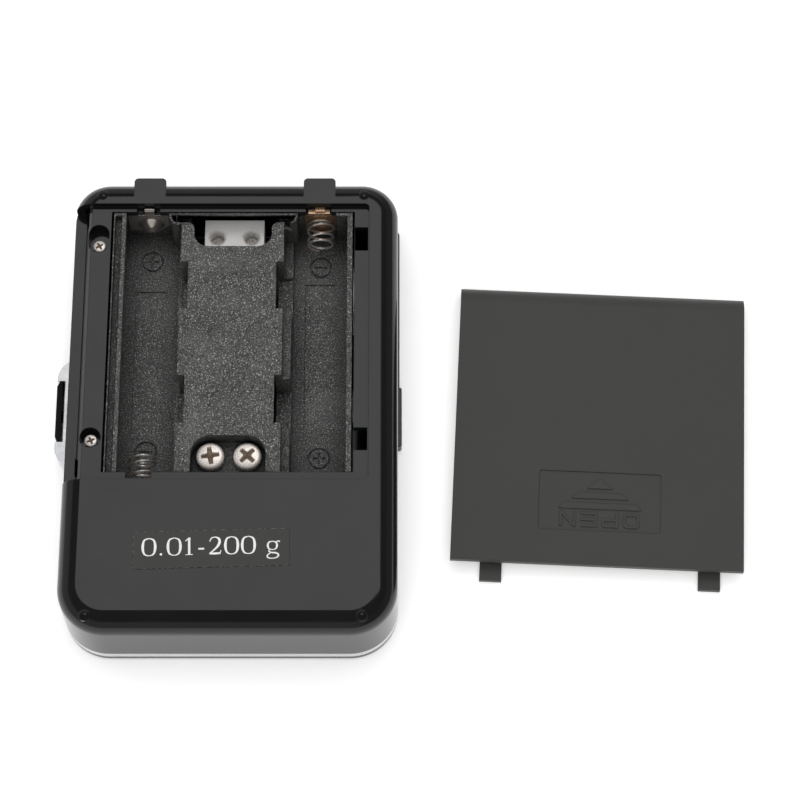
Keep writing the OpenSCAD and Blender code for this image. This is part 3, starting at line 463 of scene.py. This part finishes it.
def screw(name, node, place, head, height, shank, length, turn):
    """A cross-head screw with a thread: nearly flat top, rounded rim, head standing on z = 0."""
    count = 144
    steps = 34
    rim_steps = 8
    rings = []
    dome = 7 * head
    flat, edge = 0.78 * head, 0.2 * head
    reach, arm = 0.66 * head, 0.17 * head
    for i in range(steps + 1):
        r = flat * i / steps
        ring = []
        for k in range(count):
            a = 2 * math.pi * k / count
            x, y = r * math.cos(a), r * math.sin(a)
            z = height - dome + math.sqrt(dome * dome - r * r)
            z -= 0.7 * height * recess_depth(x, y, reach, arm, turn)
            ring.append((x, y, z))
        rings.append(ring)
    rim = height - dome + math.sqrt(dome * dome - flat ** 2)
    lathe = []
    for i in range(1, rim_steps + 1):
        a = math.pi / (2 * rim_steps) * i
        lathe.append((flat + 0.22 * head * math.sin(a), rim - edge * (1 - math.cos(a))))
    lathe += [(head, 0.06 * head), (0.97 * head, 0), (1.02 * shank, 0), (shank, -0.05 * head)]
    for r, z in lathe:
        rings.append(level_ring(r, z, count))
    pitch = 0.32 * shank
    z = -0.05 * head
    while z > -length + 1.4 * pitch:
        for depth, drop in ((0.88, 0.5), (1.0, 0.5)):
            z -= drop * pitch
            rings.append(level_ring(depth * shank, z, count))
    for r in (0.7 * shank, 0.001):
        rings.append(level_ring(r, -length, count))
    rings = [[(x * MM, y * MM, z * MM) for x, y, z in ring] for ring in rings]
    obj = loft(name, rings, NICKEL, place=place, angle=30)
    # painted shade: faces deep in the cross recess take the darker copy of the nickel
    obj.data.materials.append(RECESS_SHADE)
    back = place.inverted()
    for face in obj.data.polygons:
        spot = back @ face.center / MM
        if spot.z > 0 and recess_depth(spot.x, spot.y, reach, arm, turn) > 0.35:
            face.material_index = 1
    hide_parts(node)
    return obj


def strip(name, route, width, thick, x, material):
    """Sheet bent along a route of (y, z) in mm, width wide across X."""
    rings = []
    for i, (y, z) in enumerate(route):
        y0, z0 = route[max(i - 1, 0)]
        y1, z1 = route[min(i + 1, len(route) - 1)]
        run = Vector((y1 - y0, z1 - z0)).normalized()
        ny, nz = -run.y * thick / 2, run.x * thick / 2
        corners = [(-1, 1), (1, 1), (1, -1), (-1, -1)]
        rings.append([
            ((x + a * width / 2) * MM, (y + b * ny) * MM, (z + b * nz) * MM) for a, b in corners
        ])
    return loft(name, rings, material)


def rounded(route, radius, steps=4):
    """The route with its corners rounded."""
    out = [route[0]]
    for before, corner, after in zip(route, route[1:], route[2:]):
        corner = Vector(corner)
        back = (Vector(before) - corner)
        ahead = (Vector(after) - corner)
        r = min(radius, back.length / 2, ahead.length / 2)
        start = corner + back.normalized() * r
        stop = corner + ahead.normalized() * r
        for i in range(steps + 1):
            t = i / steps
            point = (1 - t) ** 2 * start + 2 * t * (1 - t) * corner + t * t * stop
            out.append(tuple(point))
    out.append(route[-1])
    return out


# Battery springs
spring_low, spring_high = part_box("top_spring")
axis = (spring_low + spring_high) / 2
top_frame = upright(Vector((axis.x, spring_high.y - 0.15 * MM, axis.z)), (1, 0, 0), (0, 0, 1))
spring(
    "top_battery_spring", "top_spring", top_frame,
    [(-0.9, 0.15), (-0.2, 0.5), (0.3, 1.1), (0.75, 2.0), (1.25, 3.1), (1.75, 4.0), (2.2, 4.4), (2.75, 4.65)],
    [(-0.9, 2.5), (0.5, 2.5), (1.5, 2.4), (2.75, 2.35)], 0.26, -0.9, 2.72,
)
spring_low, spring_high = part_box("low_spring")
axis = (spring_low + spring_high) / 2
low_frame = upright(Vector((axis.x, spring_low.y + 0.15 * MM, axis.z)), (-1, 0, 0), (0, 0, 1))
spring(
    "low_battery_spring", "low_spring", low_frame,
    [(-0.8, 0.5), (0.0, 1.0), (0.5, 1.9), (1.0, 3.0), (1.5, 3.95), (2.0, 4.55), (2.5, 4.85), (3.0, 5.0)],
    [(-0.8, 2.5), (1.0, 2.5), (3.0, 2.3)], 0.26, -0.8, 2.8,
)

# Screws: two over the load cell's fixed end, two on the left strip
screws_low, screws_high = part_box("load_cell_screws")
head = 2.65
shaft = 6
for side, turn in ((0, 8), (1, 45)):
    x = screws_low.x + head * MM if side == 0 else screws_high.x - head * MM
    seat = screws_low.z + shaft * MM
    place = Matrix.Translation((x, (screws_low.y + screws_high.y) / 2, seat))
    screw(f"load_cell_screw_{side + 1}", "load_cell_screws", place, head, 2.0, 1.38, shaft,
          math.radians(turn))
screws_low, screws_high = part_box("shell_screws")
head = 1.22
shaft = 7
for side, turn in ((0, 24), (1, 31)):
    y = screws_low.y + head * MM if side == 0 else screws_high.y - head * MM
    seat = screws_low.z + shaft * MM
    place = Matrix.Translation(((screws_low.x + screws_high.x) / 2, y, seat))
    screw(f"case_screw_{side + 1}", "shell_screws", place, head, 1.1, 0.8, shaft,
          math.radians(turn))


def positive_plate():
    """Contact plate with its pressed dome, and the strip that carries it over the end wall."""
    low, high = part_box("positive_contact")
    right = high.x / MM
    left = low.x / MM
    bottom, top = 9.4, 15.9
    middle = (left + 4.4, 12.2)
    face = 39.75
    thick = 0.3
    columns, levels = 40, 34
    sheets = []
    for back in (0, 1):
        rows = []
        for j in range(levels + 1):
            z = bottom + (top - bottom) * j / levels
            edge = right - 2.0 + 2.0 * min(1, (z - bottom) / 2.2)
            row = []
            for i in range(columns + 1):
                x = left + (edge - left) * i / columns
                r = math.hypot(x - middle[0], z - middle[1]) / 2.55
                lift = 1.75 * (1 - min(r, 1) ** 2.2) ** 1.25 if r < 1 else 0
                row.append((x, face - lift + back * thick, z))
            rows.append(row)
        sheets.append(rows)
    front, rear = sheets
    rings = []
    for f_row, r_row in zip(front, rear):
        rings.append([(x * MM, y * MM, z * MM) for x, y, z in f_row + r_row[::-1]])
    plate = loft("positive_plate", rings, CONTACT, angle=45)
    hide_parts("positive_contact")
    route = rounded([(39.9, 15.7), (39.9, 17.58), (40.55, 17.58), (40.55, 15.65), (41.95, 15.65),
                     (41.95, 12.0)], 0.35)
    tab = strip("positive_tab", route, 1.9, 0.28, middle[0], CONTACT)
    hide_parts("positive_contact")


positive_plate()


def hole_threads():
    """Thread ridges in the tapped holes at the load cell's free end.

    They start clear of the tips of the platform's screws, which rise as the platform is pressed.
    """
    per_turn, ridges = 40, 172
    start, pitch = 10.3, 0.5
    screws_low, screws_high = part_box("platform_screws")
    y = (screws_low.y + screws_high.y) / 2
    for side, x in ((1, screws_low.x + 2.4 * MM), (2, screws_high.x - 2.4 * MM)):
        rings = []
        for i in range(ridges + 1):
            n = i / per_turn
            a = 2 * math.pi * n
            z = (start + pitch * n) * MM
            out = Vector((math.cos(a), math.sin(a), 0))
            ring = []
            for r, dz in ((1.52, -0.22), (1.36, 0.0), (1.52, 0.22)):
                ring.append(Vector((x, y, z + dz * MM)) + out * (r * MM))
            rings.append(ring)
        loft(f"cell_thread_{side}", rings, MACHINED, angle=20)


hole_threads()

# ---------------------------------------------------------------- capacity rating on the label

# Pen strokes of each glyph on a cap height of 1: (points, widths), then its advance
GLYPHS = {
    "0": ([([(0.36, 1.0), (0.62, 0.88), (0.70, 0.5), (0.62, 0.12), (0.36, 0.0), (0.10, 0.12),
             (0.02, 0.5), (0.10, 0.88), (0.36, 1.0)],
            [0.05, 0.10, 0.145, 0.10, 0.05, 0.10, 0.145, 0.10, 0.05])], 0.80),
    "1": ([([(0.26, 0.0), (0.26, 1.0)], [0.13, 0.13]),
           ([(0.04, 0.80), (0.15, 0.88), (0.28, 0.97)], [0.04, 0.07, 0.08]),
           ([(0.06, 0.02), (0.46, 0.02)], [0.045, 0.045])], 0.60),
    "2": ([([(0.07, 0.74), (0.16, 0.93), (0.36, 0.99), (0.56, 0.90), (0.60, 0.68), (0.48, 0.44),
             (0.26, 0.22), (0.06, 0.06)],
            [0.06, 0.07, 0.06, 0.12, 0.145, 0.12, 0.08, 0.06]),
           ([(0.05, 0.06), (0.36, 0.05), (0.66, 0.07)], [0.10, 0.12, 0.10]),
           ([(0.62, 0.05), (0.68, 0.24)], [0.06, 0.04])], 0.78),
    "g": ([([(0.33, 0.68), (0.52, 0.62), (0.58, 0.44), (0.52, 0.26), (0.33, 0.20), (0.14, 0.26),
             (0.08, 0.44), (0.14, 0.62), (0.33, 0.68)],
            [0.05, 0.08, 0.11, 0.08, 0.05, 0.08, 0.11, 0.08, 0.05]),
           ([(0.22, 0.22), (0.13, 0.12), (0.24, 0.04), (0.50, 0.01), (0.66, -0.10), (0.56, -0.25),
             (0.30, -0.30), (0.07, -0.24), (0.07, -0.10), (0.24, 0.02)],
            [0.05, 0.06, 0.08, 0.09, 0.09, 0.07, 0.05, 0.08, 0.07, 0.05]),
           ([(0.50, 0.60), (0.60, 0.68), (0.74, 0.66)], [0.05, 0.06, 0.08])], 0.80),
    ".": ([([(0.10, 0.0), (0.10, 0.07), (0.10, 0.14)], [0.05, 0.15, 0.05])], 0.34),
    "-": ([([(0.04, 0.34), (0.36, 0.34)], [0.10, 0.10])], 0.48),
    " ": ([], 0.30),
}


def pen_stroke(points, widths):
    """Left and right edges of a smooth stroke through points with the widths given."""
    xs = [(i, p[0]) for i, p in enumerate(points)]
    ys = [(i, p[1]) for i, p in enumerate(points)]
    ws = [(i, w) for i, w in enumerate(widths)]
    steps = 8 * (len(points) - 1)
    line = []
    for i in range(steps + 1):
        t = i * (len(points) - 1) / steps
        line.append((Vector((along(xs, t), along(ys, t))), along(ws, t)))
    edges = []
    closed = (Vector(points[0]) - Vector(points[-1])).length < 1e-6
    for i, (p, w) in enumerate(line):
        before = line[i - 1][0] if i > 0 else (line[-2][0] if closed else p)
        after = line[i + 1][0] if i < steps else (line[1][0] if closed else p)
        run = (after - before).normalized()
        side = Vector((-run.y, run.x)) * w / 2
        edges.append((p + side, p - side))
    return edges


def rating(text, height, width):
    """The label's rating, printed as raised ink and spaced out to the width given."""
    low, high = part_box("capacity_label")
    centre = (low + high) / 2
    spare = (width - sum(GLYPHS[c][1] for c in text) * height) / (len(text) - 1)
    turn = Matrix.Rotation(math.radians(1.4), 4, "Z")
    place = Matrix.Translation((centre.x + 0.1 * MM, centre.y, high.z)) @ turn
    mesh = bpy.data.meshes.new("capacity_rating")
    bm = bmesh.new()
    pen = -width / 2
    layer = 0
    for character in text:
        strokes, advance = GLYPHS[character]
        for points, widths in strokes:
            layer += 1
            top = (0.016 + 0.0012 * (layer % 4)) * MM
            columns = []
            for left, right in pen_stroke(points, widths):
                column = []
                for p, z in ((left, 0.002 * MM), (left, top), (right, top), (right, 0.002 * MM)):
                    x = (pen + p.x * height) * MM
                    y = (p.y * height - 1.15) * MM
                    column.append(bm.verts.new(place @ Vector((x, y, z))))
                columns.append(column)
            for a, b in zip(columns, columns[1:]):
                for k in range(3):
                    bm.faces.new((a[k], b[k], b[k + 1], a[k + 1]))
            bm.faces.new(columns[0])
            bm.faces.new(columns[-1][::-1])
        pen += advance * height + spare
    bmesh.ops.recalc_face_normals(bm, faces=bm.faces)
    bm.to_mesh(mesh)
    bm.free()
    new_object("capacity_rating", mesh, BODY, INK)


rating("0.01-200 g", 3.4, 25.6)


def edge_bubbles():
    """Tiny air lines along the label's edges."""
    low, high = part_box("capacity_label")
    centre = (low + high) / 2
    place = Matrix.Translation((centre.x, centre.y, high.z)) @ Matrix.Rotation(math.radians(1.6), 4, "Z")
    draw = random.Random(11)
    bm = bmesh.new()
    for x0, y0, x1, y1 in ((-14.4, 3.6, 14.4, 3.6), (-14.4, -3.6, 14.4, -3.6), (-14.4, -3.5, -14.4, 3.5)):
        start, stop = Vector((x0, y0)), Vector((x1, y1))
        run = (stop - start).normalized()
        side = Vector((-run.y, run.x))
        far = (stop - start).length
        at = 0.1
        while at < far - 1:
            size = draw.uniform(0.3, 1.6)
            wide = draw.uniform(0.03, 0.045)
            a, b = start + run * at, start + run * min(at + size, far)
            middle = (a + b) / 2
            ring = [a, middle + side * wide, b, middle - side * wide]
            base = [bm.verts.new(place @ Vector((p.x * MM, p.y * MM, 0.001 * MM))) for p in ring]
            peak = bm.verts.new(place @ Vector((middle.x * MM, middle.y * MM, 0.02 * MM)))
            for k in range(4):
                bm.faces.new((base[k], base[(k + 1) % 4], peak))
            bm.faces.new(base[::-1])
            at += size + draw.uniform(0.15, 0.9)
    bmesh.ops.recalc_face_normals(bm, faces=bm.faces)
    mesh = bpy.data.meshes.new("label_edge_lines")
    bm.to_mesh(mesh)
    bm.free()
    new_object("label_edge_lines", mesh, BODY, BUBBLES)


edge_bubbles()

# ---------------------------------------------------------------- floor, light and camera

TILT = math.radians(22.5)
DISTANCE = 525 * MM
SENSOR = 36
FOCAL_PIXELS = 2783
IMAGE_PIXELS = 800
back_z = 19.2 * MM
AIM = Vector((32.4 * MM, -0.6 * MM, back_z))


def floor():
    size = 6
    mesh = bpy.data.meshes.new("floor")
    mesh.from_pydata(
        [(-size, -size, 0), (size, -size, 0), (size, size, 0), (-size, size, 0)], [], [(0, 1, 2, 3)]
    )
    obj = bpy.data.objects.new("floor", mesh)
    obj.location.z = -0.03 * MM
    bpy.context.scene.collection.objects.link(obj)
    m = Nodes("floor_white")
    m.set(Base_Color=(0.93, 0.93, 0.93, 1), Roughness=0.6, Emission_Strength=0.31)
    m.set(Emission_Color=(1, 1, 1, 1))
    m.shader.inputs["Specular IOR Level"].default_value = 0.2
    mesh.materials.append(m.material)


def softbox(name, place, target, size, power, glossy=True):
    """A rectangular area light that faces target; glossy says if it shows in reflections."""
    data = bpy.data.lights.new(name, "AREA")
    data.shape = "RECTANGLE"
    data.size, data.size_y = size
    data.energy = power
    obj = bpy.data.objects.new(name, data)
    obj.location = place
    aim = Vector(target) - Vector(place)
    obj.rotation_euler = aim.to_track_quat("-Z", "Y").to_euler()
    obj.visible_glossy = glossy
    bpy.context.scene.collection.objects.link(obj)


def camera():
    data = bpy.data.cameras.new("camera")
    data.sensor_width = SENSOR
    data.lens = SENSOR * FOCAL_PIXELS / IMAGE_PIXELS
    data.clip_start = 0.01
    obj = bpy.data.objects.new("camera", data)
    back = Vector((0, -math.sin(TILT), math.cos(TILT)))
    obj.location = AIM + DISTANCE * back
    obj.rotation_euler = (TILT, 0, 0)
    bpy.context.scene.collection.objects.link(obj)
    bpy.context.scene.camera = obj


def surroundings():
    """Room light by direction: pale low down at the sides and behind, dim above and in front."""
    world = bpy.data.worlds.new("studio")
    world.use_nodes = True
    tree = world.node_tree
    place = tree.nodes.new("ShaderNodeTexCoord")
    parts = tree.nodes.new("ShaderNodeSeparateXYZ")
    tree.links.new(place.outputs["Generated"], parts.inputs["Vector"])

    def ramp(source, start, stop, low, high):
        node = tree.nodes.new("ShaderNodeMapRange")
        node.interpolation_type = "SMOOTHSTEP"
        values = {"From Min": start, "From Max": stop, "To Min": low, "To Max": high}
        for name, value in values.items():
            node.inputs[name].default_value = value
        tree.links.new(source, node.inputs["Value"])
        return node.outputs["Result"]

    def product(first, second):
        node = tree.nodes.new("ShaderNodeMath")
        node.operation = "MULTIPLY"
        tree.links.new(first, node.inputs[0])
        tree.links.new(second, node.inputs[1])
        return node.outputs[0]

    low_down = ramp(parts.outputs["Z"], 0.55, 0.72, 1.0, 0.0)
    behind = ramp(parts.outputs["Y"], -0.45, -0.1, 0.8, 1.0)
    left = ramp(parts.outputs["X"], 0.15, 0.6, 1.0, 0.35)
    strength = ramp(product(product(low_down, behind), left), 0.0, 1.0, 0.11, 0.5)
    background = tree.nodes["Background"]
    background.inputs["Color"].default_value = (1.0, 0.985, 0.965, 1)
    tree.links.new(strength, background.inputs["Strength"])
    bpy.context.scene.world = world
    bpy.context.scene.view_settings.view_transform = "Standard"
    bpy.context.scene.view_settings.look = "None"


floor()
softbox("panel_behind", (0.04, 0.42, 1.0), (0.04, 0.42, 0), (0.50, 0.42), 1.0)
softbox("key_above", (0.0, 0.1, 1.3), (0.03, 0, 0), (2.2, 2.0), 18, glossy=False)
softbox("fill_front", (0.0, -0.9, 0.8), (0.03, 0, 0), (0.8, 0.5), 4, glossy=False)
camera()
surroundings()
